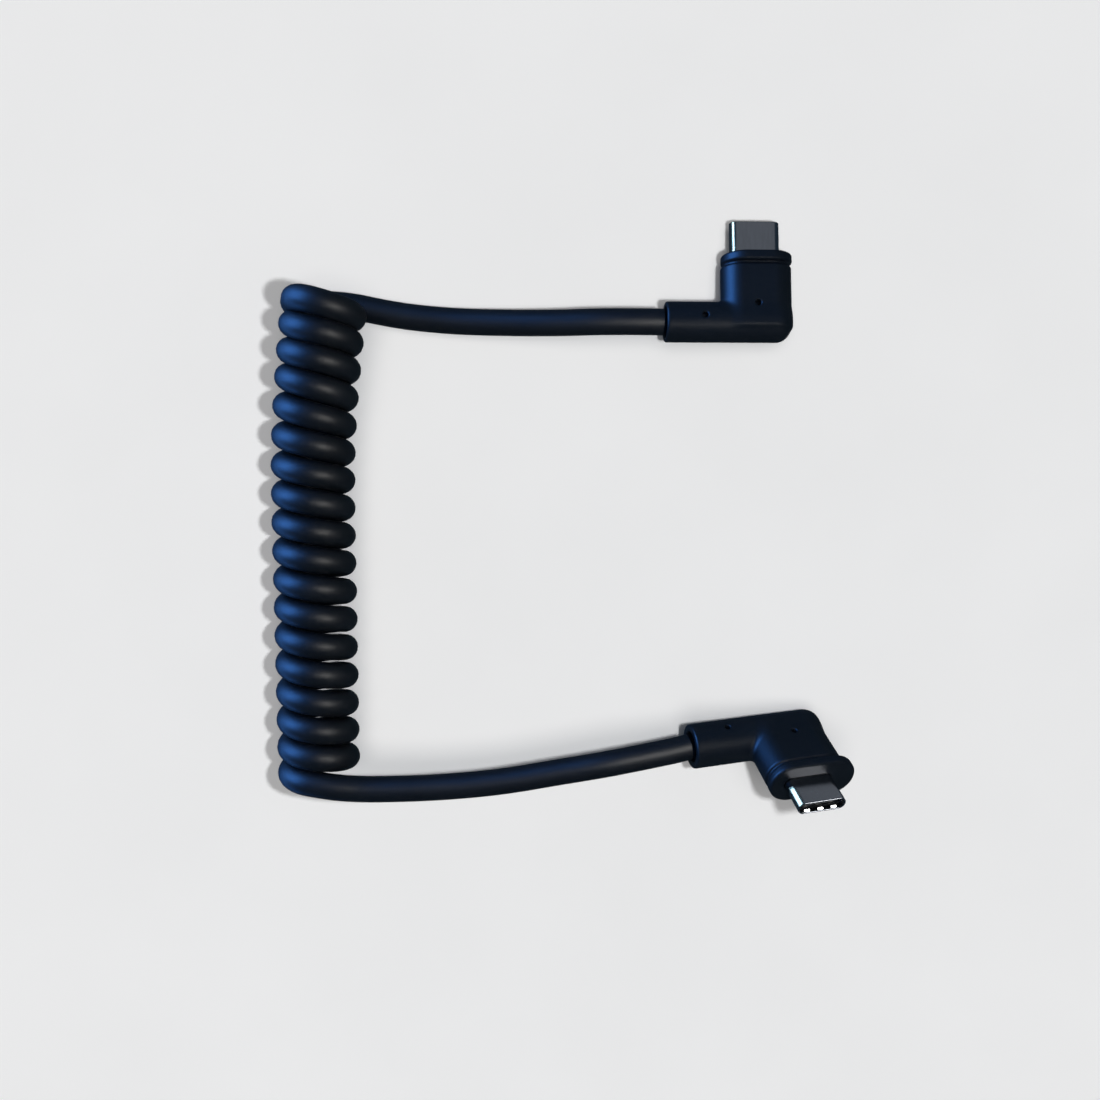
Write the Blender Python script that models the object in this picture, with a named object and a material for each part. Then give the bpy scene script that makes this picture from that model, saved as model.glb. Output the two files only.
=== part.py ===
"""A coiled USB cable with a right-angle plug on each end, lying on a level floor.

Metres, +Z up. X runs from the coil to the plugs, Y along the coil, and the
origin is on the floor below the middle of the two plugs. Each plug has its own
frame: x along its connector's width and away from the cable, y the way it is
pushed in, z through its thickness, with the origin on the cable's centre line.
"""

import math

import bmesh
import bpy
from mathutils import Euler, Matrix, Vector

MM = 0.001

# The cable and its coil.
CABLE_DIAMETER = 4.35 * MM
COIL_DIAMETER = 13.8 * MM
GAP = 0.3 * MM

# The plug's metal shell, the standard size of its connector.
SHELL_WIDTH = 8.25 * MM
SHELL_THICKNESS = 2.4 * MM
SHELL_WALL = 0.25 * MM
SHELL_REACH = 5.5 * MM
SHELL_SEAT = 0.8 * MM
SHELL_BACK = 1.0 * MM

# The plastic tongue block inside the shell, and the slot that a socket's tongue enters.
BLOCK_PLAY = 0.08 * MM
BLOCK_RECESS = 1.3 * MM
SLOT_WIDTH = 6.7 * MM
SLOT_HEIGHT = 0.72 * MM
SLOT_FLOOR = 0.8 * MM

# The grounding springs just inside the mouth.
SPRING_WIDTH = 5.6 * MM
SPRING_LENGTH = 0.9 * MM
SPRING_PLATE = 0.12 * MM
SPRING_PAD_WIDTH = 1.0 * MM
SPRING_PAD_HEIGHT = 0.22 * MM
SPRING_PADS = 3
SPRING_SETBACK = 0.25 * MM
SPRING_PLAY = 0.05 * MM

# The moulded right-angle housing, shared by both plugs.
BOOT_EDGE = 0.4 * MM
HEEL_ROUNDING = 2.4 * MM
HEEL_INSET = 0.3 * MM
NOSE_STEP = 0.1 * MM
FLANGE_DEPTH = 1.6 * MM
FLANGE_EDGE = 0.25 * MM
GROOVE_DEPTH = 0.4 * MM
GROOVE_WIDTH = 0.4 * MM
DIMPLE_DIAMETER = 0.9 * MM
DIMPLE_DEPTH = 0.6 * MM

# Each plug's own sizes and the way it lies. Reaches run from the plug's origin, and
# a shift moves a slot shape along the plug's x axis.
PLUGS = {
    "plug_a": {
        "location": (-0.67 * MM, 31.09 * MM, 5.58 * MM),
        "turn": (-8.92, 2.54, -0.04),
        "boot_diameter": 6.62 * MM,
        "boot_reach": 15.0 * MM,
        "nose_reach": 11.1 * MM,
        "body_width": 11.7 * MM,
        "body_shift": 0.18 * MM,
        "flange_width": 11.72 * MM,
        "flange_thickness": 7.7 * MM,
        "flange_shift": 0.29 * MM,
        "dimple_face": 1,
        "dimples": ((-8.8 * MM, 0.45 * MM), (-0.15 * MM, 2.5 * MM)),
    },
    "plug_b": {
        "location": (5.14 * MM, -38.65 * MM, 4.63 * MM),
        "turn": (118.11, 12.32, 4.26),
        "boot_diameter": 7.46 * MM,
        "boot_reach": 16.34 * MM,
        "nose_reach": 11.52 * MM,
        "body_width": 13.67 * MM,
        "body_shift": 0.26 * MM,
        "flange_width": 14.93 * MM,
        "flange_thickness": 7.62 * MM,
        "flange_shift": 0.88 * MM,
        "dimple_face": -1,
        "dimples": ((-10.2 * MM, 0.3 * MM), (0.6 * MM, 3.2 * MM)),
    },
}

# The coil's centre line, from the end by plug A to the end by plug B. Its first turns
# lie on lead A, which passes under them, so the coil comes down to the floor along it.
COIL_ROUTE = (
    (-70.3 * MM, 36.3 * MM, 10.7 * MM),
    (-71.2 * MM, 30.8 * MM, 10.0 * MM),
    (-72.2 * MM, 23.8 * MM, 9.0 * MM),
    (-73.5 * MM, 11.8 * MM, 7.65 * MM),
    (-73.9 * MM, -0.2 * MM, 7.05 * MM),
    (-73.9 * MM, -14.2 * MM, 6.93 * MM),
    (-73.9 * MM, -28.2 * MM, 6.92 * MM),
    (-73.9 * MM, -38.2 * MM, 6.92 * MM),
    (-73.85 * MM, -47.2 * MM, 6.92 * MM),
)

# The straight leads' centre lines, from the coil to each plug's boot.
LEAD_A_ROUTE = (
    (-66.4 * MM, 33.87 * MM, 2.2 * MM),
    (-64.7 * MM, 33.51 * MM, 2.2 * MM),
    (-59.54 * MM, 32.56 * MM, 2.3 * MM),
    (-51.34 * MM, 31.66 * MM, 2.7 * MM),
    (-42.94 * MM, 31.26 * MM, 3.7 * MM),
    (-32.84 * MM, 31.06 * MM, 5.4 * MM),
    (-26.14 * MM, 31.13 * MM, 6.4 * MM),
    (-20.54 * MM, 31.13 * MM, 6.5 * MM),
    (-15.99 * MM, 31.10 * MM, 6.26 * MM),
)
LEAD_B_ROUTE = (
    (-66.54 * MM, -46.24 * MM, 11.0 * MM),
    (-59.64 * MM, -46.34 * MM, 10.6 * MM),
    (-51.34 * MM, -46.04 * MM, 10.3 * MM),
    (-42.94 * MM, -45.24 * MM, 10.2 * MM),
    (-32.84 * MM, -43.54 * MM, 10.3 * MM),
    (-24.54 * MM, -42.04 * MM, 10.5 * MM),
    (-17.74 * MM, -40.94 * MM, 9.6 * MM),
    (-13.14 * MM, -40.24 * MM, 8.65 * MM),
    (-11.11 * MM, -39.86 * MM, 8.19 * MM),
)

ROUND_SEGMENTS = 48
STADIUM_SEGMENTS = 20
HEEL_STEPS = 6
CABLE_STEP = 2.4
COIL_SIDES = 24


def clear_scene():
    for obj in list(bpy.data.objects):
        bpy.data.objects.remove(obj)


def material(name, colour, roughness, metallic=0.0):
    made = bpy.data.materials.new(name)
    made.use_nodes = True
    shader = made.node_tree.nodes["Principled BSDF"]
    shader.inputs["Base Color"].default_value = (*colour, 1.0)
    shader.inputs["Roughness"].default_value = roughness
    shader.inputs["Metallic"].default_value = metallic
    return made


def new_object(name, bm, look=None, parent=None):
    bmesh.ops.recalc_face_normals(bm, faces=bm.faces)
    mesh = bpy.data.meshes.new(name)
    bm.to_mesh(mesh)
    bm.free()
    obj = bpy.data.objects.new(name, mesh)
    bpy.context.collection.objects.link(obj)
    if look is not None:
        mesh.materials.append(look)
    obj.parent = parent
    return obj


def stadium(y, width, thickness, shift):
    """The points of a slot shape with round ends, across a plug at y."""
    radius = thickness / 2
    reach = width / 2 - radius
    points = []
    for side in (1, -1):
        for step in range(STADIUM_SEGMENTS + 1):
            angle = side * math.pi / 2 - math.pi * step / STADIUM_SEGMENTS
            x = shift + side * reach + radius * math.cos(angle)
            points.append((x, y, radius * math.sin(angle)))
    return points


def loft(stations):
    """A closed solid through slot shapes, one for each (y, width, thickness, shift) station."""
    bm = bmesh.new()
    rings = [[bm.verts.new(point) for point in stadium(*station)] for station in stations]
    for near, far in zip(rings, rings[1:]):
        for i in range(len(near)):
            j = (i + 1) % len(near)
            bm.faces.new((near[i], near[j], far[j], far[i]))
    bm.faces.new(rings[0])
    bm.faces.new(list(reversed(rings[-1])))
    return bm


def turned(profile, segments=ROUND_SEGMENTS):
    """A closed solid turned about the x axis from (x, radius) points, both ends on the axis."""
    bm = bmesh.new()
    rings = []
    for x, radius in profile:
        if radius == 0.0:
            rings.append([bm.verts.new((x, 0.0, 0.0))])
            continue
        ring = []
        for step in range(segments):
            angle = 2 * math.pi * step / segments
            ring.append(bm.verts.new((x, radius * math.cos(angle), radius * math.sin(angle))))
        rings.append(ring)
    for near, far in zip(rings, rings[1:]):
        for i in range(segments):
            j = (i + 1) % segments
            corners = [near[i % len(near)], near[j % len(near)], far[j % len(far)], far[i % len(far)]]
            bm.faces.new(list(dict.fromkeys(corners)))
    return bm


def apply_boolean(target, cutter, operation):
    modifier = target.modifiers.new(operation.lower(), "BOOLEAN")
    modifier.operation = operation
    modifier.solver = "EXACT"
    modifier.object = cutter
    graph = bpy.context.evaluated_depsgraph_get()
    joined = bpy.data.meshes.new_from_object(target.evaluated_get(graph))
    target.modifiers.clear()
    target.data = joined
    bpy.data.objects.remove(cutter)


def join_solids(target, *solids):
    for index, bm in enumerate(solids):
        apply_boolean(target, new_object(f"joined_{index}", bm), "UNION")


def cut_solids(target, *solids):
    for index, bm in enumerate(solids):
        apply_boolean(target, new_object(f"cut_{index}", bm), "DIFFERENCE")


def heel_profile(plug):
    """The boot and heel as one round bar: a chamfered cable end and a rounded far end."""
    radius = plug["boot_diameter"] / 2
    start = -plug["boot_reach"]
    outer = plug["body_shift"] + plug["body_width"] / 2 - HEEL_INSET
    profile = [(start, 0.0), (start, radius - BOOT_EDGE), (start + BOOT_EDGE, radius)]
    for step in range(HEEL_STEPS + 1):
        angle = math.pi / 2 * step / HEEL_STEPS
        x = outer - HEEL_ROUNDING + HEEL_ROUNDING * math.sin(angle)
        profile.append((x, radius - HEEL_ROUNDING + HEEL_ROUNDING * math.cos(angle)))
    profile.append((outer, 0.0))
    return profile


def nose_stations(plug):
    """The nose from the heel's middle to the flange's face, with the groove behind the flange."""
    body = (plug["body_width"], body_thickness(plug), plug["body_shift"])
    neck = inset(body, GROOVE_DEPTH)
    flange = (plug["flange_width"], plug["flange_thickness"], plug["flange_shift"])
    edge = inset(flange, FLANGE_EDGE)
    front = plug["nose_reach"]
    flange_start = front - FLANGE_DEPTH
    return (
        (0.0, *body),
        (flange_start - GROOVE_WIDTH, *body),
        (flange_start - GROOVE_WIDTH, *neck),
        (flange_start, *neck),
        (flange_start, *edge),
        (flange_start + FLANGE_EDGE, *flange),
        (front - FLANGE_EDGE, *flange),
        (front, *edge),
    )


def inset(shape, depth):
    """A slot shape's (width, thickness, shift), drawn in by depth all round."""
    width, thickness, shift = shape
    return width - 2 * depth, thickness - 2 * depth, shift


def body_thickness(plug):
    """Just under the round boot's, so that the nose runs into the heel."""
    return plug["boot_diameter"] - NOSE_STEP


def dimple(x, y, face, surface):
    """A cutter for one small round pit in the broad face."""
    bm = bmesh.new()
    bmesh.ops.create_cone(
        bm,
        cap_ends=True,
        segments=16,
        radius1=DIMPLE_DIAMETER / 2,
        radius2=DIMPLE_DIAMETER / 2,
        depth=2 * DIMPLE_DEPTH,
        matrix=Matrix.Translation((x, y, face * surface)),
    )
    return bm


def make_overmold(name, plug, parent, look):
    """Boot, heel, nose and flange, moulded as one piece, with the seat for the shell."""
    seat = inset((SHELL_WIDTH, SHELL_THICKNESS, 0.0), -GAP)
    front = plug["nose_reach"]
    (boot_x, boot_y), (nose_x, nose_y) = plug["dimples"]
    boot_surface = math.sqrt((plug["boot_diameter"] / 2) ** 2 - boot_y**2)
    face = plug["dimple_face"]
    housing = new_object(f"{name}_overmold", turned(heel_profile(plug)))
    join_solids(housing, loft(nose_stations(plug)))
    cut_solids(
        housing,
        loft(((front - SHELL_SEAT, *seat), (front + SHELL_SEAT, *seat))),
        dimple(boot_x, boot_y, face, boot_surface),
        dimple(nose_x, nose_y, face, body_thickness(plug) / 2),
    )
    housing.data.materials.append(look)
    housing.parent = parent


def make_shell(name, plug, parent, look):
    """The drawn steel shell: a closed back and an open mouth."""
    back = plug["nose_reach"] - SHELL_SEAT + GAP
    front = plug["nose_reach"] + SHELL_REACH
    outer = (SHELL_WIDTH, SHELL_THICKNESS, 0.0)
    inner = inset(outer, SHELL_WALL)
    walls = ((back, *outer), (front, *outer), (front, *inner), (back + SHELL_BACK, *inner))
    new_object(f"{name}_shell", loft(walls), look, parent)


def make_contact_block(name, plug, parent, look):
    """The moulded block inside the shell, with the slot for a socket's tongue."""
    back = plug["nose_reach"] - SHELL_SEAT + GAP + SHELL_BACK + BLOCK_PLAY
    front = plug["nose_reach"] + SHELL_REACH - BLOCK_RECESS
    outer = inset((SHELL_WIDTH, SHELL_THICKNESS, 0.0), SHELL_WALL + BLOCK_PLAY)
    slot = (SLOT_WIDTH, SLOT_HEIGHT, 0.0)
    walls = ((back, *outer), (front, *outer), (front, *slot), (back + SLOT_FLOOR, *slot))
    new_object(f"{name}_contact_block", loft(walls), look, parent)


def spring_outline():
    """The (x, height) outline of a spring strip: a flat plate with raised pads."""
    half = SPRING_WIDTH / 2
    spacing = SPRING_WIDTH / SPRING_PADS
    points = [(-half, 0.0), (half, 0.0), (half, SPRING_PLATE)]
    for index in range(SPRING_PADS):
        centre = half - spacing * (index + 0.5)
        near = centre + SPRING_PAD_WIDTH / 2
        far = centre - SPRING_PAD_WIDTH / 2
        top = SPRING_PLATE + SPRING_PAD_HEIGHT
        points += [(near, SPRING_PLATE), (near - SPRING_PLATE, top)]
        points += [(far + SPRING_PLATE, top), (far, SPRING_PLATE)]
    points.append((-half, SPRING_PLATE))
    return points


def make_spring(name, plug, side, parent, look):
    """One stamped grounding spring, on the upper (1) or lower (-1) inner wall."""
    wall = SHELL_THICKNESS / 2 - SHELL_WALL - SPRING_PLAY
    front = plug["nose_reach"] + SHELL_REACH - SPRING_SETBACK
    bm = bmesh.new()
    rings = []
    for y in (front - SPRING_LENGTH, front):
        rings.append([bm.verts.new((x, y, side * (wall - height))) for x, height in spring_outline()])
    for i in range(len(rings[0])):
        j = (i + 1) % len(rings[0])
        bm.faces.new((rings[0][i], rings[0][j], rings[1][j], rings[1][i]))
    bm.faces.new(rings[0])
    bm.faces.new(list(reversed(rings[1])))
    word = "upper" if side == 1 else "lower"
    new_object(f"{name}_spring_{word}", bm, look, parent)


def make_plug(name, looks):
    plug = PLUGS[name]
    frame = bpy.data.objects.new(f"{name}_frame", None)
    bpy.context.collection.objects.link(frame)
    frame.location = plug["location"]
    frame.rotation_euler = Euler([math.radians(angle) for angle in plug["turn"]])
    bpy.context.view_layer.update()
    make_overmold(name, plug, frame, looks["housing"])
    make_shell(name, plug, frame, looks["steel"])
    make_contact_block(name, plug, frame, looks["block"])
    make_spring(name, plug, 1, frame, looks["spring"])
    make_spring(name, plug, -1, frame, looks["spring"])


def smooth_route(points, spacing):
    """Evenly spaced points on a smooth curve through the route's own points."""
    ends = [2 * points[0] - points[1], *points, 2 * points[-1] - points[-2]]
    fine = []
    for a, b, c, d in zip(ends, ends[1:], ends[2:], ends[3:]):
        for step in range(40):
            t = step / 40
            fine.append(
                0.5
                * (
                    2 * b
                    + (c - a) * t
                    + (2 * a - 5 * b + 4 * c - d) * t**2
                    + (3 * b - a - 3 * c + d) * t**3
                )
            )
    fine.append(points[-1])
    along = [0.0]
    for near, far in zip(fine, fine[1:]):
        along.append(along[-1] + (far - near).length)
    count = max(2, round(along[-1] / spacing))
    route = []
    place = 0
    for index in range(count + 1):
        want = along[-1] * index / count
        while place < len(along) - 2 and along[place + 1] < want:
            place += 1
        share = (want - along[place]) / (along[place + 1] - along[place])
        route.append(fine[place].lerp(fine[place + 1], share))
    return route


def make_tube(name, points, diameter, resolution, look):
    """A round tube along a route, as a bevelled curve with filled ends."""
    route = smooth_route([Vector(point) for point in points], CABLE_STEP * CABLE_DIAMETER)
    curve = bpy.data.curves.new(name, "CURVE")
    curve.dimensions = "3D"
    curve.bevel_depth = diameter / 2
    curve.bevel_resolution = resolution
    curve.use_fill_caps = True
    spline = curve.splines.new("POLY")
    spline.points.add(len(route) - 1)
    for point, place in zip(spline.points, route):
        point.co = (*place, 1.0)
    curve.materials.append(look)
    obj = bpy.data.objects.new(name, curve)
    bpy.context.collection.objects.link(obj)
    return obj


def make_cable(look):
    make_tube("lead_a", LEAD_A_ROUTE, CABLE_DIAMETER, 4, look)
    make_tube("coil", COIL_ROUTE, COIL_DIAMETER, (COIL_SIDES - 4) // 2, look)
    make_tube("lead_b", LEAD_B_ROUTE, CABLE_DIAMETER, 4, look)


def main():
    clear_scene()
    looks = {
        "housing": material("moulded_plastic", (0.012, 0.013, 0.018), 0.5),
        "steel": material("drawn_steel", (0.55, 0.56, 0.58), 0.3, 1.0),
        "block": material("block_plastic", (0.01, 0.01, 0.01), 0.6),
        "spring": material("spring_steel", (0.8, 0.8, 0.8), 0.25, 1.0),
        "cable": material("cable_jacket", (0.01, 0.011, 0.014), 0.55),
    }
    for name in PLUGS:
        make_plug(name, looks)
    make_cable(looks["cable"])


main()
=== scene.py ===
"""Looks for the coiled USB cable: the cable itself, the two moulded plugs and the light.

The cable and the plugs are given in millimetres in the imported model's frame, and are
scaled to metres as their meshes are made. The stage, the lights and the camera are in
metres. Each plug is made in its own frame (x away from the cable, y the way it is
pushed in, z through its thickness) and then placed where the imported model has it.
"""

import math

import bmesh
import bpy
import numpy as np
from mathutils import Euler, Matrix, Vector

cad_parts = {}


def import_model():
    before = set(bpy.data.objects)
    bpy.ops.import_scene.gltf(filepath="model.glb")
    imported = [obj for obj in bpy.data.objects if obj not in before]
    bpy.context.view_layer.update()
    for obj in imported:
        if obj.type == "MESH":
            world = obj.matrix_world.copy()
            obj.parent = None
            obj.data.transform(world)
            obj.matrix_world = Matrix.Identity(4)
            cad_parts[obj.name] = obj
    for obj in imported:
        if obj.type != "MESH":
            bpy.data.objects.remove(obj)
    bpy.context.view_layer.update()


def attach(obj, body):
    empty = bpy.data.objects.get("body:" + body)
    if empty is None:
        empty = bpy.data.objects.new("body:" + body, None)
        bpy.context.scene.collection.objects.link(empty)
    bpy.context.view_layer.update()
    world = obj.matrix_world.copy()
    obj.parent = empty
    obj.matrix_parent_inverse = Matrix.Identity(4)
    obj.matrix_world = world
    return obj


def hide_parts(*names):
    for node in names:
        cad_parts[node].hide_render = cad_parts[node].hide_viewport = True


MM = 0.001

# The cable, and how finely its curve is made.
CABLE_DIAMETER = 4.35
COIL_DIAMETER = 13.8
POINTS_PER_TURN = 24
CABLE_STEP = 0.9
AXIS_STEP = 0.5
CURVE_STEPS = 40
CABLE_SIDE_STEPS = 8

# Each plug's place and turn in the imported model, and its own sizes.
PLUGS = {
    "plug_a": {
        "location": (-0.67, 31.09, 5.58),
        "turn": (-8.92, 2.54, -0.04),
        "boot_diameter": 6.62,
        "boot_reach": 15.0,
        "nose_reach": 11.1,
        "body_width": 11.7,
        "body_shift": 0.18,
        "flange_width": 11.72,
        "flange_thickness": 7.7,
        "flange_shift": 0.29,
        "dimple_face": 1,
        "dimples": ((-8.8, 0.45), (-0.15, 2.5)),
    },
    "plug_b": {
        "location": (5.14, -38.65, 4.63),
        "turn": (118.11, 12.32, 4.26),
        "boot_diameter": 7.46,
        "boot_reach": 16.34,
        "nose_reach": 11.52,
        "body_width": 13.67,
        "body_shift": 0.26,
        "flange_width": 14.93,
        "flange_thickness": 7.62,
        "flange_shift": 0.88,
        "dimple_face": -1,
        "dimples": ((-10.2, 0.3), (0.6, 3.2)),
    },
}

# The coil's centre line, from the end by plug A to the end by plug B.
COIL_ROUTE = (
    (-70.3, 36.3, 10.7),
    (-71.2, 30.8, 10.0),
    (-72.2, 23.8, 9.0),
    (-73.5, 11.8, 7.65),
    (-73.9, -0.2, 7.05),
    (-73.9, -14.2, 6.93),
    (-73.9, -28.2, 6.92),
    (-73.9, -38.2, 6.92),
    (-73.85, -47.2, 6.92),
)

# Where the strand is along Y after so many half turns, counted from plug A's end.
STRAND_PLACES = (
    (1.0, 33.4),
    (7.8, 18.65),
    (14.6, 2.82),
    (21.4, -13.19),
    (28.2, -29.43),
    (35.0, -45.19),
)
# The strand is at the left after half of a half turn, and on top after one.
FIRST_HALF_TURN = 0.5
LAST_HALF_TURN = 35.0

# The first turn leans towards the next one, and the left sides of the next few sag the same way.
FIRST_TURN_LEAN = 0.9
SAG = 0.6
SAG_HALF_TURN = 3.2
SAG_REACH = 2.0

# The straight leads' centre lines, from the coil to each plug's boot.
LEAD_A_ROUTE = (
    (-66.4, 33.87, 2.2),
    (-64.7, 33.51, 2.2),
    (-59.54, 32.56, 2.3),
    (-51.34, 31.66, 2.7),
    (-42.94, 31.26, 3.7),
    (-32.84, 31.06, 5.4),
    (-26.14, 31.13, 6.4),
    (-20.54, 31.13, 6.5),
    (-15.99, 31.10, 6.26),
)
LEAD_B_ROUTE = (
    (-70.2, -45.8, 11.55),
    (-66.54, -46.24, 11.0),
    (-59.64, -46.34, 10.6),
    (-51.34, -46.04, 10.3),
    (-42.94, -45.24, 10.2),
    (-32.84, -43.54, 10.3),
    (-24.54, -42.04, 10.5),
    (-17.74, -40.94, 9.6),
    (-13.14, -40.24, 8.65),
    (-11.11, -39.86, 8.19),
)

# Lead A passes under the first turns and comes up on their far side.
UNDER_ROUTE = (
    (-68.6, 34.2, 2.2),
    (-71.0, 34.4, 2.25),
    (-73.2, 34.45, 3.0),
    (-75.4, 34.4, 4.4),
    (-76.3, 34.1, 7.4),
)

# The plug's metal shell. It reaches out of the flange and is seated in a recess in it.
SHELL_WIDTH = 8.25
SHELL_THICKNESS = 2.4
SHELL_WALL = 0.25
SHELL_REACH = 5.5
SHELL_SEAT = 0.8
SHELL_BACK_GAP = 0.3
SHELL_BACK_WALL = 1.0
SHELL_BACK_EDGE = 0.1
SHELL_LIP_DEPTH = 1.0
LIP_STEPS = 8
SHADING_RINGS = (0.05, 0.04)

# The moulded housing's steps, edges and pits, which are the same on both plugs.
BOOT_EDGE = 0.35
HEEL_ROUND = 2.4
HEEL_INSET = 0.2
BODY_START = -1.2
BODY_STOP = 2.0
BODY_FLAT = 0.1
BODY_EDGE = 0.4
NECK_STOP = 1.0
NECK_INSET = 0.7
NECK_FLAT = 0.8
NECK_EDGE = 0.05
FLANGE_DEPTH = 1.6
FLANGE_EDGE = 0.45
SEAT_CLEARANCE = 0.1
CABLE_CLEARANCE = 0.4
CABLE_HOLE_DEPTH = 1.8
DIMPLE_RADIUS = 0.5
DIMPLE_FLOOR_DEPTH = 1.7

# How softly the housing's forms run into each other.
BODY_BLEND = 0.8
FLANGE_BLEND = 0.15
CUT_BLEND = 0.12
HOLE_BLEND = 0.3

# The grid that the housing's mesh is made on.
GRID_STEP = 0.16
GRID_MARGIN = 0.5
SETTLE_ROUNDS = 4
SETTLE_REACH = 0.3
SLOPE_STEP = 0.01
TINY = 1e-9

# The insulator in the shell, its slot and its contacts.
BLOCK_CLEARANCE = 0.08
BLOCK_RECESS = 1.3
BLOCK_EDGE = 0.1
SLOT_WIDTH = 6.7
SLOT_THICKNESS = 0.72
SLOT_BACK_WALL = 0.8
CONTACTS = 12
CONTACT_PITCH = 0.5
CONTACT_WIDTH = 0.25
CONTACT_THICKNESS = 0.12
CONTACT_SINK = 0.02
CONTACT_SETBACK = 1.8

# The grounding springs: a strip across the shell's wall and three arms with sloped pads.
PAD_TOP = 0.7
PAD_WIDTH = 0.95
PAD_PITCH = 2.3
PAD_RECESS = 0.22
PAD_FLAT = 0.05
PAD_SLOPE = 0.3
ARM_LENGTH = 1.8
ARM_THICKNESS = 0.08
STRIP_SIZE = (6.2, 0.8, 0.12)
STRIP_SETBACK = 2.0
SPRING_EDGE = 0.04
SPRING_SINK = 0.01

# How fine the patches, streaks and ramps of the materials are.
PLASTIC_PATCHES = 180
STEEL_STREAKS = 2500
STREAK_CONTRAST = 1.12
RAMP_ENDS = (0.3, 0.7)

# The stage, in metres: its size, the lamp beside the camera and what the floor gets from it.
STAGE_RADIUS = 1.5
STAGE_SEGMENTS = 96
DOME_START = -0.01
LAMP_PLACE = (0.0, 0.005, 0.175)
LAMP_RADIUS = 0.006
LAMP_POWER = 24.0
LAMP_SHARE = 0.55

# The camera, in metres and degrees: almost straight above the cable.
CAMERA_PLACE = (-0.03454, 0.01176, 0.190)
CAMERA_TILT = -5.7
CAMERA_LENS = 36.0

# The room: a pale blue sky all round and a soft ceiling, which is a wide sun straight above.
SKY_COLOUR = (0.42, 0.69, 1.0)
SKY_STRENGTH = 0.055
CEILING_STRENGTH = 1.22
CEILING_ANGLE = 40.0
CEILING_COLOUR = (1.0, 0.96, 0.92)

WINDOW_BLUE = (0.08, 0.31, 1.0)
PALE_BLUE = (0.58, 0.90, 1.0)
WARM_WHITE = (1.0, 0.97, 0.93)
ROSE_WHITE = (1.0, 0.97, 1.0)

# What the lights face: the middle of the cable, or plug B's shell.
MIDDLE = (-0.035, 0.0, 0.0)
SHELL_B = (0.006, -0.045, 0.018)

# Lights that show only in the gloss of one group of pieces.
# Each row: name, group, place, what it faces, size in metres, power in watts, colour.
WINDOW_PLACE = (-0.80, 0.34, 0.31)
WINDOW_SIZE = (0.80, 0.60)
WINDOW_POWER = 9.8
GLOSS_LIGHTS = (
    ("cable_lamp", "cable", (0.055, 0.0, 0.17), MIDDLE, (0.09, 0.09), 0.095, WARM_WHITE),
    ("plug_lamp", "plastics", (0.04, -0.02, 0.17), MIDDLE, (0.05, 0.05), 0.016, (1.0, 0.98, 0.95)),
    ("cable_window", "cable", WINDOW_PLACE, MIDDLE, WINDOW_SIZE, WINDOW_POWER, WINDOW_BLUE),
    ("plug_window", "plastics", WINDOW_PLACE, MIDDLE, WINDOW_SIZE, WINDOW_POWER, WINDOW_BLUE),
    ("table_window", "cable", (-0.22, 0.02, 0.0005), (-0.22, 0.02, 1.0), (0.24, 0.30), 0.42, WINDOW_BLUE),
    ("front_fill", "plastics", (0.30, -0.53, 0.10), SHELL_B, (0.4, 0.3), 0.010, (0.9, 0.97, 1.0)),
    ("sky", "steel_a", (-0.74, 0.42, 0.42), MIDDLE, (0.14, 0.50), 1.9, PALE_BLUE),
    ("room", "steel_a", (0.21, 0.41, 0.68), MIDDLE, (0.7, 0.7), 0.22, ROSE_WHITE),
    ("front", "steel_b", (0.29, 0.08, 0.41), SHELL_B, (0.20, 0.20), 1.05, (1.0, 0.98, 0.98)),
    ("shine", "steel_b", (-0.034, -0.014, 0.008), SHELL_B, (0.045, 0.016), 0.013, PALE_BLUE),
    ("table", "steel_b", (0.02, 0.01, 0.0005), (0.02, 0.01, 1.0), (0.08, 0.08), 0.003, ROSE_WHITE),
)


# Cable


def smooth_path(points, spacing):
    """Evenly spaced points on a smooth curve through points that may be unevenly spaced."""
    pts = np.asarray(points, float)
    steps = np.linalg.norm(np.diff(pts, axis=0), axis=1)
    slopes = np.diff(pts, axis=0) / steps[:, None]
    before = steps[:-1, None]
    after = steps[1:, None]
    inner = (before * slopes[1:] + after * slopes[:-1]) / (before + after)
    tangents = np.vstack([slopes[:1], inner, slopes[-1:]])
    t = np.linspace(0, 1, CURVE_STEPS, endpoint=False)[:, None]
    fine = []
    for index, step in enumerate(steps):
        fine.append(
            (2 * t**3 - 3 * t**2 + 1) * pts[index]
            + (t**3 - 2 * t**2 + t) * step * tangents[index]
            + (3 * t**2 - 2 * t**3) * pts[index + 1]
            + (t**3 - t**2) * step * tangents[index + 1]
        )
    fine = np.vstack(fine + [pts[-1:]])
    along = np.r_[0, np.cumsum(np.linalg.norm(np.diff(fine, axis=0), axis=1))]
    want = np.linspace(0, along[-1], round(along[-1] / spacing) + 1)
    return np.stack([np.interp(want, along, fine[:, k]) for k in range(3)], 1)


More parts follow.
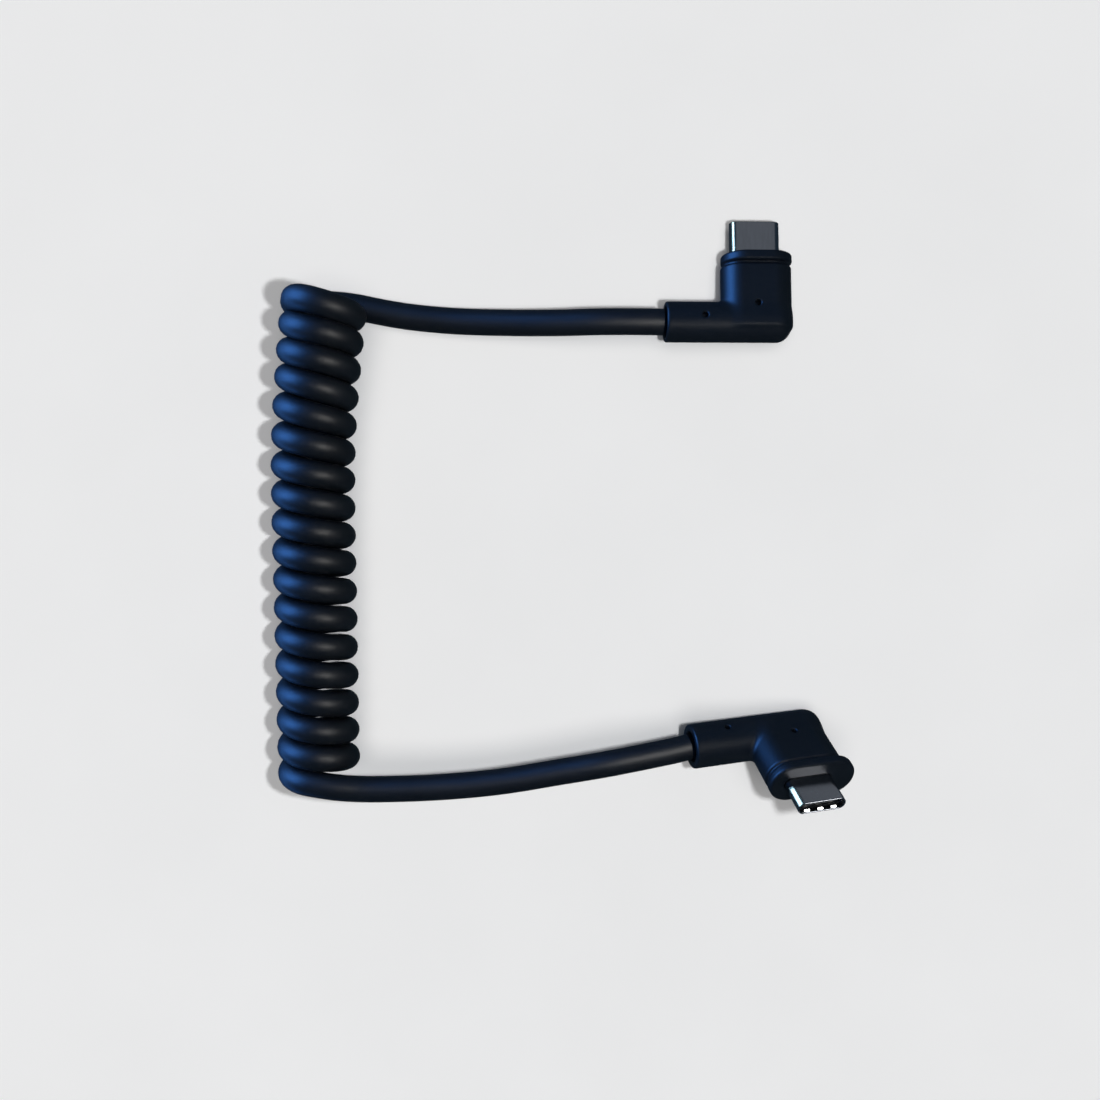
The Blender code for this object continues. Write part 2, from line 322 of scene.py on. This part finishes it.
def strand_points():
    """The coil's strand, which goes over the top from left to right and comes towards -Y."""
    axis = smooth_path(COIL_ROUTE, AXIS_STEP)[::-1]
    radius = (COIL_DIAMETER - CABLE_DIAMETER) / 2
    halves, places = np.array(STRAND_PLACES).T
    progress = np.polynomial.Polynomial.fit(halves, places, len(halves) - 1)
    count = round((LAST_HALF_TURN - FIRST_HALF_TURN) / 2 * POINTS_PER_TURN)
    turn = np.linspace(FIRST_HALF_TURN, LAST_HALF_TURN, count + 1)
    lean_in = FIRST_TURN_LEAN * (np.maximum(1.0 - turn, 0) / (1.0 - FIRST_HALF_TURN)) ** 2
    left_side = (1 + np.sin(np.pi * turn)) / 2
    sag = SAG * np.exp(-(((turn - SAG_HALF_TURN) / SAG_REACH) ** 2)) * left_side
    y = progress(turn) - lean_in - sag
    x = np.interp(y, axis[:, 1], axis[:, 0])
    z = np.interp(y, axis[:, 1], axis[:, 2])
    lean = np.gradient(x, y)
    across = np.stack([np.ones_like(lean), -lean], 1) / np.hypot(1, lean)[:, None]
    swing = -radius * np.sin(np.pi * turn)
    rise = -radius * np.cos(np.pi * turn)
    return np.stack([x + swing * across[:, 0], y + swing * across[:, 1], z + rise], 1)


def cable_points():
    """The whole cable in millimetres, from plug A's boot to plug B's."""
    controls = [*LEAD_A_ROUTE[::-1], *UNDER_ROUTE, *strand_points(), *LEAD_B_ROUTE]
    return smooth_path(controls, CABLE_STEP)


def new_object(name, data, look):
    data.materials.append(look)
    obj = bpy.data.objects.new(name, data)
    bpy.context.collection.objects.link(obj)
    return obj


def make_cable(look):
    """The cable as one round curve, with the point where it leaves plug A's boot and its length."""
    points = cable_points() * MM
    curve = bpy.data.curves.new("cable", "CURVE")
    curve.dimensions = "3D"
    curve.bevel_depth = CABLE_DIAMETER / 2 * MM
    curve.bevel_resolution = CABLE_SIDE_STEPS
    curve.use_fill_caps = True
    spline = curve.splines.new("POLY")
    spline.points.add(len(points) - 1)
    for point, spot in zip(spline.points, points):
        point.co = (*spot, 1.0)
    spline.use_smooth = True
    cable = new_object("cable", curve, look)
    length = float(np.linalg.norm(np.diff(points, axis=0), axis=1).sum())
    return cable, tuple(points[0]), length


# Plugs


def slot_distance(x, z, width, thickness, shift):
    """Signed distance to a slot shape with round ends."""
    radius = thickness / 2
    reach = width / 2 - radius
    side = np.maximum(np.abs(x - shift) - reach, 0)
    return np.hypot(side, z) - radius


def rounded_meet(a, b, edge):
    """The overlap of two shapes, with the edge where they meet rounded by edge."""
    a = a + edge
    b = b + edge
    return np.hypot(np.maximum(a, 0), np.maximum(b, 0)) + np.minimum(np.maximum(a, b), 0) - edge


def slab(distance, y, low, high, edge):
    """A shape that runs from low to high along y, with its edges rounded by edge."""
    return rounded_meet(distance, np.maximum(low - y, y - high), edge)


def blend_union(a, b, size):
    """Two shapes joined, with the crease between them filled in softly."""
    step = np.maximum(size - np.abs(a - b), 0) / size
    return np.minimum(a, b) - step**2 * size / 4


def blend_cut(a, b, size):
    """Shape a with shape b taken out of it, with a soft edge."""
    return -blend_union(-a, b, size)


def boot_distance(plug, x, y, z):
    """The round bar along the cable, from its open end to the rounded heel."""
    heel = plug["body_shift"] + plug["body_width"] / 2 - HEEL_INSET
    bar = np.hypot(y, z) - plug["boot_diameter"] / 2
    bar = rounded_meet(bar, x - heel, HEEL_ROUND)
    return rounded_meet(bar, -plug["boot_reach"] - x, BOOT_EDGE)


def nose_distances(plug, x, y, z):
    """The flat body, the slimmer neck in front of it, and the flange."""
    front = plug["nose_reach"]
    width, thickness, shift = plug["body_width"], plug["boot_diameter"], plug["body_shift"]
    body = slot_distance(x, z, width, thickness - BODY_FLAT, shift)
    neck = slot_distance(x, z, width - NECK_INSET, thickness - NECK_FLAT, shift)
    flange = slot_distance(x, z, plug["flange_width"], plug["flange_thickness"], plug["flange_shift"])
    return (
        slab(body, y, BODY_START, front - BODY_STOP, BODY_EDGE),
        slab(neck, y, 0.0, front - NECK_STOP, NECK_EDGE),
        slab(flange, y, front - FLANGE_DEPTH, front, FLANGE_EDGE),
    )


def cut_seat(solid, plug, x, y, z):
    """The recess in the flange that the metal shell sits in."""
    front = plug["nose_reach"]
    outline = slot_distance(x, z, SHELL_WIDTH + SEAT_CLEARANCE, SHELL_THICKNESS + SEAT_CLEARANCE, 0.0)
    seat = slab(outline, y, front - SHELL_SEAT, front + SHELL_REACH, SEAT_CLEARANCE / 2)
    return blend_cut(solid, seat, CUT_BLEND)


def cut_cable_hole(solid, plug, x, y, z):
    """The wider mouth that the cable goes into at the boot's end."""
    round_hole = np.hypot(y, z) - (CABLE_DIAMETER / 2 + CABLE_CLEARANCE)
    hole = np.maximum(round_hole, x + plug["boot_reach"] - CABLE_HOLE_DEPTH)
    return blend_cut(solid, hole, HOLE_BLEND)


def cut_dimples(solid, plug, x, y, z):
    """The two small round pits in the face that the camera sees."""
    height = z * plug["dimple_face"]
    bottom = plug["boot_diameter"] / 2 - DIMPLE_FLOOR_DEPTH
    for dimple_x, dimple_y in plug["dimples"]:
        pit = np.hypot(x - dimple_x, y - dimple_y) - DIMPLE_RADIUS
        solid = blend_cut(solid, np.maximum(pit, bottom - height), CUT_BLEND)
    return solid


def housing_distance(plug, x, y, z):
    """Signed distance, in millimetres, to the moulded housing."""
    body, neck, flange = nose_distances(plug, x, y, z)
    solid = blend_union(boot_distance(plug, x, y, z), body, BODY_BLEND)
    solid = blend_union(np.minimum(solid, neck), flange, FLANGE_BLEND)
    solid = cut_seat(solid, plug, x, y, z)
    solid = cut_cable_hole(solid, plug, x, y, z)
    return cut_dimples(solid, plug, x, y, z)


def cell_points(values):
    """Number the grid cells that the surface passes, with the mean of its cuts through their edges."""
    shape = tuple(n - 1 for n in values.shape)

    def corner(offset):
        return values[tuple(slice(o, o + n) for o, n in zip(offset, shape))]

    weight = np.zeros(shape)
    place_in_cell = [np.zeros(shape) for _ in range(3)]
    for offset in np.ndindex(2, 2, 2):
        for axis in range(3):
            if offset[axis]:
                continue
            a = corner(offset)
            b = corner(tuple(o + (axis == index) for index, o in enumerate(offset)))
            crossing = (a < 0) != (b < 0)
            with np.errstate(divide="ignore", invalid="ignore"):
                share = np.where(crossing, a / (a - b), 0.0)
            weight += crossing
            for index in range(3):
                base = offset[index] + (share if index == axis else 0.0)
                place_in_cell[index] += np.where(crossing, base, 0.0)
    used = weight > 0
    number = -np.ones(shape, int)
    number[used] = np.arange(used.sum())
    points = np.stack([total[used] / weight[used] for total in place_in_cell], 1) + np.argwhere(used)
    return number, points


def cell_faces(values, number):
    """A quad round every grid edge that the surface cuts, facing outwards."""
    inside = values < 0
    counts = values.shape
    faces = []
    for axis in range(3):
        u, v = (axis + 1) % 3, (axis + 2) % 3
        near = [slice(None)] * 3
        far = [slice(None)] * 3
        near[axis] = slice(0, counts[axis] - 1)
        far[axis] = slice(1, counts[axis])
        starts_inside = inside[tuple(near)]
        where = np.argwhere(starts_inside != inside[tuple(far)])
        keep = (where[:, u] > 0) & (where[:, v] > 0)
        keep &= (where[:, u] < counts[u] - 1) & (where[:, v] < counts[v] - 1)
        where = where[keep]
        quad = []
        for du, dv in ((-1, -1), (0, -1), (0, 0), (-1, 0)):
            index = where.copy()
            index[:, u] += du
            index[:, v] += dv
            quad.append(number[tuple(index.T)])
        quad = np.stack(quad, 1)
        turned = ~starts_inside[tuple(where.T)]
        quad[turned] = quad[turned][:, ::-1]
        faces.append(quad)
    return np.vstack(faces)


def settle(distance, verts, step):
    """Slide the points onto the surface along its slope."""
    e = SLOPE_STEP
    for _ in range(SETTLE_ROUNDS):
        x, y, z = verts.T
        here = distance(x, y, z)
        slope = np.stack(
            [
                distance(x + e, y, z) - distance(x - e, y, z),
                distance(x, y + e, z) - distance(x, y - e, z),
                distance(x, y, z + e) - distance(x, y, z - e),
            ],
            1,
        ) / (2 * e)
        size = (slope**2).sum(1) + TINY
        move = -(here / size)[:, None] * slope
        length = np.linalg.norm(move, axis=1, keepdims=True)
        verts = verts + move * np.minimum(1, SETTLE_REACH * step / np.maximum(length, TINY))
    return verts


def surface(distance, low, high, step):
    """A quad mesh on the zero surface of distance(x, y, z), on a grid of cubes."""
    counts = [int(math.ceil((b - a) / step)) + 1 for a, b in zip(low, high)]
    axes = [a + step * np.arange(n) for a, n in zip(low, counts)]
    values = distance(*np.meshgrid(*axes, indexing="ij"))
    number, points = cell_points(values)
    verts = settle(distance, points * step + np.array(low), step)
    return verts, cell_faces(values, number)


def smooth_mesh(name, verts, faces, look):
    mesh = bpy.data.meshes.new(name)
    mesh.from_pydata([tuple(v) for v in verts], [], [tuple(int(i) for i in f) for f in faces])
    mesh.update()
    mesh.polygons.foreach_set("use_smooth", [True] * len(mesh.polygons))
    return new_object(name, mesh, look)


def plug_matrix(plug):
    turn = Euler([math.radians(angle) for angle in plug["turn"]])
    return Matrix.Translation(Vector(plug["location"]) * MM) @ turn.to_matrix().to_4x4()


def place(obj, plug):
    """Bake the plug's placing into a mesh that was made in millimetres."""
    obj.data.transform(plug_matrix(plug) @ Matrix.Scale(MM, 4))
    return obj


def make_housing(name, plug, look):
    """The boot, heel, body and flange, moulded as one piece."""
    radius = max(plug["boot_diameter"], plug["flange_thickness"]) / 2
    low = np.array((-plug["boot_reach"], -plug["boot_diameter"] / 2, -radius)) - GRID_MARGIN
    right = plug["flange_shift"] + plug["flange_width"] / 2
    high = np.array((right, plug["nose_reach"], radius)) + GRID_MARGIN
    verts, faces = surface(lambda x, y, z: housing_distance(plug, x, y, z), low, high, GRID_STEP)
    return place(smooth_mesh(f"{name}_housing", verts, faces, look), plug)


def stadium_ring(width, thickness, y, segments=24):
    """Points round a slot shape with round ends, at one place along y."""
    radius = thickness / 2
    reach = width / 2 - radius
    points = []
    for side in (1, -1):
        for step in range(segments + 1):
            angle = side * math.pi / 2 - math.pi * step / segments
            points.append((side * reach + radius * math.cos(angle), y, radius * math.sin(angle)))
    return points


def loft(name, rings, look):
    """A closed skin over a row of rings, with a flat face on the first and the last."""
    verts = [point for ring in rings for point in ring]
    size = len(rings[0])
    faces = []
    for r in range(len(rings) - 1):
        for i in range(size):
            j = (i + 1) % size
            faces.append((r * size + i, r * size + j, (r + 1) * size + j, (r + 1) * size + i))
    faces.append(tuple(range(size)))
    faces.append(tuple(reversed(range((len(rings) - 1) * size, len(rings) * size))))
    obj = smooth_mesh(name, verts, faces, look)
    bm = bmesh.new()
    bm.from_mesh(obj.data)
    bmesh.ops.recalc_face_normals(bm, faces=bm.faces)
    bm.to_mesh(obj.data)
    bm.free()
    return obj


def inside_shell(clearance):
    """The width and thickness that fit in the shell with this much room all round."""
    inset = 2 * (SHELL_WALL + clearance)
    return SHELL_WIDTH - inset, SHELL_THICKNESS - inset


def make_shell(name, plug, look):
    """The drawn shell, with its lip rounded over and its back closed."""
    back = plug["nose_reach"] - SHELL_SEAT + SHELL_BACK_GAP
    front = plug["nose_reach"] + SHELL_REACH
    lip = SHELL_WALL / 2
    bend = back + SHELL_BACK_EDGE
    rings = [stadium_ring(SHELL_WIDTH - 2 * SHELL_BACK_EDGE, SHELL_THICKNESS - 2 * SHELL_BACK_EDGE, back)]
    # a second ring close to each bend keeps the shading of the long walls flat
    for y in (bend, bend + SHADING_RINGS[0], front - lip - SHADING_RINGS[1]):
        rings.append(stadium_ring(SHELL_WIDTH, SHELL_THICKNESS, y))
    for step in range(LIP_STEPS + 1):
        angle = math.pi * step / LIP_STEPS
        inset = 2 * lip * (1 - math.cos(angle))
        y = front - lip + lip * math.sin(angle)
        rings.append(stadium_ring(SHELL_WIDTH - inset, SHELL_THICKNESS - inset, y))
    for y in (front - SHELL_LIP_DEPTH, back + SHELL_BACK_WALL):
        rings.append(stadium_ring(*inside_shell(0.0), y))
    return place(loft(f"{name}_steel_shell", rings, look), plug)


def add_contacts(block, back, front):
    """Thin gold bars on the slot's two walls."""
    bm = bmesh.new()
    bm.from_mesh(block.data)
    size = Matrix.Diagonal((CONTACT_WIDTH, front - back - CONTACT_SETBACK, CONTACT_THICKNESS, 1.0))
    for number in range(CONTACTS):
        x = (number - (CONTACTS - 1) / 2) * CONTACT_PITCH
        for side in (1, -1):
            spot = Matrix.Translation((x, (back + front) / 2, side * (SLOT_THICKNESS / 2 - CONTACT_SINK)))
            made = bmesh.ops.create_cube(bm, size=1.0, matrix=spot @ size)
            for face in {face for vert in made["verts"] for face in vert.link_faces}:
                face.material_index = 1
    bm.to_mesh(block.data)
    bm.free()


def make_block(name, plug, look, gold):
    """The insulator in the shell, with its slot and the contacts on the slot's two walls."""
    back = plug["nose_reach"] - SHELL_SEAT + SHELL_BACK_GAP + SHELL_BACK_WALL + BLOCK_CLEARANCE
    front = plug["nose_reach"] + SHELL_REACH - BLOCK_RECESS
    width, thickness = inside_shell(BLOCK_CLEARANCE)
    rings = [
        stadium_ring(width, thickness, back),
        stadium_ring(width, thickness, front - BLOCK_EDGE),
        stadium_ring(width - 2 * BLOCK_EDGE, thickness - 2 * BLOCK_EDGE, front),
        stadium_ring(SLOT_WIDTH + BLOCK_EDGE, SLOT_THICKNESS + BLOCK_EDGE, front),
        stadium_ring(SLOT_WIDTH, SLOT_THICKNESS, front - BLOCK_EDGE),
        stadium_ring(SLOT_WIDTH, SLOT_THICKNESS, back + SLOT_BACK_WALL),
    ]
    block = loft(f"{name}_block", rings, look)
    block.data.materials.append(gold)
    add_contacts(block, back, front)
    return place(block, plug)


def add_arm(bm, middle, wall, side, front):
    """One spring arm: its outline from the side, as thick as a pad is wide."""
    top = side * PAD_TOP
    arm = wall - side * ARM_THICKNESS
    slope = front - abs(wall - top)
    profile = (
        (front - ARM_LENGTH, wall),
        (front - ARM_LENGTH, arm),
        (slope - PAD_FLAT - PAD_SLOPE, arm),
        (slope - PAD_FLAT, top),
        (slope, top),
        (front, wall),
    )
    edges = (middle - PAD_WIDTH / 2, middle + PAD_WIDTH / 2)
    rings = [[bm.verts.new((x, y, z)) for y, z in profile] for x in edges]
    bm.faces.new(rings[0])
    bm.faces.new(rings[1][::-1])
    for index in range(len(profile)):
        after = (index + 1) % len(profile)
        bm.faces.new((rings[0][index], rings[0][after], rings[1][after], rings[1][index]))


def make_spring(name, plug, side, look):
    """A grounding spring: a thin strip on the shell's inner wall with three sloped pads at its front."""
    wall = side * (SHELL_THICKNESS / 2 - SHELL_WALL + SPRING_SINK)
    front = plug["nose_reach"] + SHELL_REACH - PAD_RECESS
    bm = bmesh.new()
    for number in (-1, 0, 1):
        add_arm(bm, number * PAD_PITCH, wall, side, front)
    spot = Matrix.Translation((0, front - STRIP_SETBACK, wall - side * STRIP_SIZE[2] / 2))
    bmesh.ops.create_cube(bm, size=1.0, matrix=spot @ Matrix.Diagonal((*STRIP_SIZE, 1.0)))
    bmesh.ops.recalc_face_normals(bm, faces=bm.faces)
    bmesh.ops.bevel(bm, geom=list(bm.edges), offset=SPRING_EDGE, segments=2, affect="EDGES")
    mesh = bpy.data.meshes.new(name)
    bm.to_mesh(mesh)
    bm.free()
    mesh.polygons.foreach_set("use_smooth", [False] * len(mesh.polygons))
    return place(new_object(name, mesh, look), plug)


# Materials


def new_material(name):
    material = bpy.data.materials.new(name)
    material.use_nodes = True
    tree = material.node_tree
    return material, tree, tree.nodes["Principled BSDF"]


def noise(tree, scale, detail, stretch=(1, 1, 1)):
    """Noise in the object's own metres, drawn out along an axis whose stretch is small."""
    coords = tree.nodes.new("ShaderNodeTexCoord")
    mapping = tree.nodes.new("ShaderNodeMapping")
    mapping.inputs["Scale"].default_value = stretch
    texture = tree.nodes.new("ShaderNodeTexNoise")
    texture.inputs["Scale"].default_value = scale
    texture.inputs["Detail"].default_value = detail
    tree.links.new(coords.outputs["Object"], mapping.inputs["Vector"])
    tree.links.new(mapping.outputs["Vector"], texture.inputs["Vector"])
    return texture.outputs["Fac"]


def ramp(tree, fac, low, high):
    """A colour or a plain number that goes from low to high over the middle of the noise."""
    node = tree.nodes.new("ShaderNodeValToRGB")
    for element, place_at, value in zip(node.color_ramp.elements, RAMP_ENDS, (low, high)):
        element.position = place_at
        element.color = (*value, 1.0) if isinstance(value, tuple) else (value, value, value, 1.0)
    tree.links.new(fac, node.inputs["Fac"])
    return node.outputs["Color"]


def bump(tree, shader, height, strength, distance):
    node = tree.nodes.new("ShaderNodeBump")
    node.inputs["Strength"].default_value = strength
    node.inputs["Distance"].default_value = distance
    tree.links.new(height, node.inputs["Height"])
    tree.links.new(node.outputs["Normal"], shader.inputs["Normal"])


def plastic(name, dark, light, rough_low, rough_high, grain):
    """A dark plastic, slightly uneven in colour, with a fine grain in its gloss and surface."""
    material, tree, shader = new_material(name)
    broad = noise(tree, PLASTIC_PATCHES, 3)
    fine = noise(tree, grain, 2)
    tree.links.new(ramp(tree, broad, dark, light), shader.inputs["Base Color"])
    tree.links.new(ramp(tree, fine, rough_low, rough_high), shader.inputs["Roughness"])
    bump(tree, shader, fine, 0.25, 0.00004)
    shader.inputs["Specular IOR Level"].default_value = 1.0
    return material


def steel(name, colour, rough_low, rough_high):
    """A plated metal with faint streaks along Y."""
    material, tree, shader = new_material(name)
    shader.inputs["Metallic"].default_value = 1.0
    streaks = noise(tree, STEEL_STREAKS, 3, stretch=(1, 0.06, 1))
    light = tuple(min(1.0, c * STREAK_CONTRAST) for c in colour)
    tree.links.new(ramp(tree, streaks, colour, light), shader.inputs["Base Color"])
    tree.links.new(ramp(tree, streaks, rough_low, rough_high), shader.inputs["Roughness"])
    bump(tree, shader, streaks, 0.04, 0.00001)
    return material


def make_looks():
    return {
        "jacket": plastic("jacket", (0.0015, 0.002, 0.003), (0.003, 0.004, 0.006), 0.44, 0.52, 6000),
        "moulded": plastic("moulded", (0.002, 0.003, 0.005), (0.003, 0.0045, 0.0075), 0.42, 0.52, 5000),
        "block": plastic("block", (0.006, 0.006, 0.007), (0.010, 0.010, 0.011), 0.45, 0.6, 6000),
        "drawn": steel("drawn", (0.42, 0.44, 0.47), 0.20, 0.26),
        "sprung": steel("spring", (0.85, 0.85, 0.83), 0.15, 0.25),
        "gold": steel("gold", (0.80, 0.58, 0.26), 0.2, 0.3),
    }


# Floor, light and camera


def even_out(tree, shader):
    """Let the floor give back what it misses from the near lamp, so it is as pale far away."""
    position = tree.nodes.new("ShaderNodeNewGeometry").outputs["Position"]
    offset = tree.nodes.new("ShaderNodeVectorMath")
    offset.operation = "SUBTRACT"
    offset.inputs[1].default_value = (LAMP_PLACE[0], LAMP_PLACE[1], 0.0)
    tree.links.new(position, offset.inputs[0])
    reach = tree.nodes.new("ShaderNodeVectorMath")
    reach.operation = "LENGTH"
    tree.links.new(offset.outputs["Vector"], reach.inputs[0])
    height = LAMP_PLACE[2]
    value = reach.outputs["Value"]
    # the share that is missing is 1 - height / distance from the lamp
    for operation, amount in (
        ("POWER", 2.0),
        ("ADD", height**2),
        ("POWER", -0.5),
        ("MULTIPLY", -height * LAMP_SHARE),
        ("ADD", LAMP_SHARE),
    ):
        node = tree.nodes.new("ShaderNodeMath")
        node.operation = operation
        node.inputs[1].default_value = amount
        tree.links.new(value, node.inputs[0])
        value = node.outputs["Value"]
    tree.links.new(value, shader.inputs["Emission Strength"])
    shader.inputs["Emission Color"].default_value = (1.0, 1.0, 1.0, 1.0)


def stage_object(name, bm, look):
    mesh = bpy.data.meshes.new(name)
    bm.to_mesh(mesh)
    bm.free()
    obj = new_object(name, mesh, look)
    obj.visible_glossy = False
    return obj


def make_floor():
    material, tree, shader = new_material("pale_floor")
    pale = ramp(tree, noise(tree, 30, 3), (0.79,) * 3, (0.81,) * 3)
    tree.links.new(pale, shader.inputs["Base Color"])
    shader.inputs["Roughness"].default_value = 0.9
    even_out(tree, shader)
    bm = bmesh.new()
    bmesh.ops.create_circle(bm, cap_ends=True, segments=STAGE_SEGMENTS, radius=STAGE_RADIUS)
    stage_object("floor", bm, material)


def make_backdrop():
    """A pale dome behind everything, which gives no light and no reflection."""
    material, tree, shader = new_material("pale_backdrop")
    pale = ramp(tree, noise(tree, 2, 2), (0.78,) * 3, (0.80,) * 3)
    shader.inputs["Base Color"].default_value = (0.0, 0.0, 0.0, 1.0)
    tree.links.new(pale, shader.inputs["Emission Color"])
    shader.inputs["Emission Strength"].default_value = 1.0
    bm = bmesh.new()
    segments = STAGE_SEGMENTS
    bmesh.ops.create_uvsphere(bm, u_segments=segments, v_segments=segments // 2, radius=STAGE_RADIUS)
    below = [vert for vert in bm.verts if vert.co.z < DOME_START]
    bmesh.ops.delete(bm, geom=below, context="VERTS")
    backdrop = stage_object("backdrop", bm, material)
    backdrop.visible_diffuse = False
    backdrop.visible_shadow = False


def new_light(name, kind, power, colour):
    data = bpy.data.lights.new(name, kind)
    data.energy = power
    data.color = colour
    light = bpy.data.objects.new(name, data)
    bpy.context.collection.objects.link(light)
    return light


def make_ceiling():
    """A sun as wide as a ceiling, which brightens the floor and shows in no gloss."""
    sun = new_light("sun", "SUN", CEILING_STRENGTH, CEILING_COLOUR)
    sun.data.angle = math.radians(CEILING_ANGLE)
    sun.visible_glossy = False


def make_near_lamp():
    """A small lamp beside the camera whose light doesn't fade with distance, so the floor stays even."""
    lamp = new_light("lamp", "POINT", LAMP_POWER, (0.98, 0.99, 1.0))
    lamp.location = LAMP_PLACE
    lamp.visible_camera = False
    lamp.visible_glossy = False
    lamp.data.shadow_soft_size = LAMP_RADIUS
    lamp.data.use_nodes = True
    tree = lamp.data.node_tree
    falloff = tree.nodes.new("ShaderNodeLightFalloff")
    falloff.inputs["Strength"].default_value = 1.0
    tree.links.new(falloff.outputs["Constant"], tree.nodes["Emission"].inputs["Strength"])


def make_gloss_light(name, group, place_at, target, size, power, colour):
    """A rectangular light that is seen only in the gloss of one group of pieces."""
    light = new_light(name, "AREA", power, colour)
    light.data.shape = "RECTANGLE"
    light.data.size, light.data.size_y = size
    light.location = place_at
    direction = Vector(target) - Vector(place_at)
    light.rotation_euler = direction.to_track_quat("-Z", "Y").to_euler()
    light.visible_camera = False
    light.visible_diffuse = False
    light.light_linking.receiver_collection = group


def make_lights(groups):
    world = bpy.data.worlds.new("studio")
    world.use_nodes = True
    background = world.node_tree.nodes["Background"]
    background.inputs["Color"].default_value = (*SKY_COLOUR, 1.0)
    background.inputs["Strength"].default_value = SKY_STRENGTH
    bpy.context.scene.world = world
    make_ceiling()
    make_near_lamp()
    for name, group, *rest in GLOSS_LIGHTS:
        make_gloss_light(name, groups[group], *rest)


def make_camera():
    data = bpy.data.cameras.new("camera")
    data.lens = CAMERA_LENS
    data.sensor_width = 36.0
    data.clip_start = 0.001
    camera = bpy.data.objects.new("camera", data)
    camera.location = CAMERA_PLACE
    camera.rotation_euler = (math.radians(CAMERA_TILT), 0.0, 0.0)
    bpy.context.collection.objects.link(camera)
    bpy.context.scene.camera = camera


# Pieces in the frame


def dress_springs(name, plug, look, group):
    springs = []
    for side, sign in (("upper", 1), ("lower", -1)):
        spring = make_spring(f"{name}_{side}_spring", plug, sign, look)
        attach(spring, "root")
        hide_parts(f"{name}_spring_{side}")
        group.objects.link(spring)
        springs.append(spring)
    return springs


def dress_plug(name, plug, looks, groups):
    """Make one plug's pieces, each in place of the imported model's nodes, and list them."""
    housing = make_housing(name, plug, looks["moulded"])
    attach(housing, "root")
    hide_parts(f"{name}_overmold")
    shell = make_shell(name, plug, looks["drawn"])
    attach(shell, "root")
    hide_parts(f"{name}_shell")
    insert = make_block(name, plug, looks["block"], looks["gold"])
    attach(insert, "root")
    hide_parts(f"{name}_contact_block")
    metal = groups["steel_" + name[-1]]
    groups["plastics"].objects.link(housing)
    groups["plastics"].objects.link(insert)
    metal.objects.link(shell)
    return [housing, shell, insert, *dress_springs(name, plug, looks["sprung"], metal)]


def dress_cable(look, group):
    cable, exit_point, length = make_cable(look)
    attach(cable, "root")
    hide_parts("lead_a", "coil", "lead_b")
    group.objects.link(cable)
    return cable, exit_point, length


def main():
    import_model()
    make_camera()
    groups = {name: bpy.data.collections.new(name) for name in ("cable", "plastics", "steel_a", "steel_b")}
    make_lights(groups)
    make_floor()
    make_backdrop()
    bpy.context.scene.view_settings.view_transform = "Standard"

    looks = make_looks()
    cable, exit_point, length = dress_cable(looks["jacket"], groups["cable"])
    plug_pieces = {name: dress_plug(name, plug, looks, groups) for name, plug in PLUGS.items()}


main()
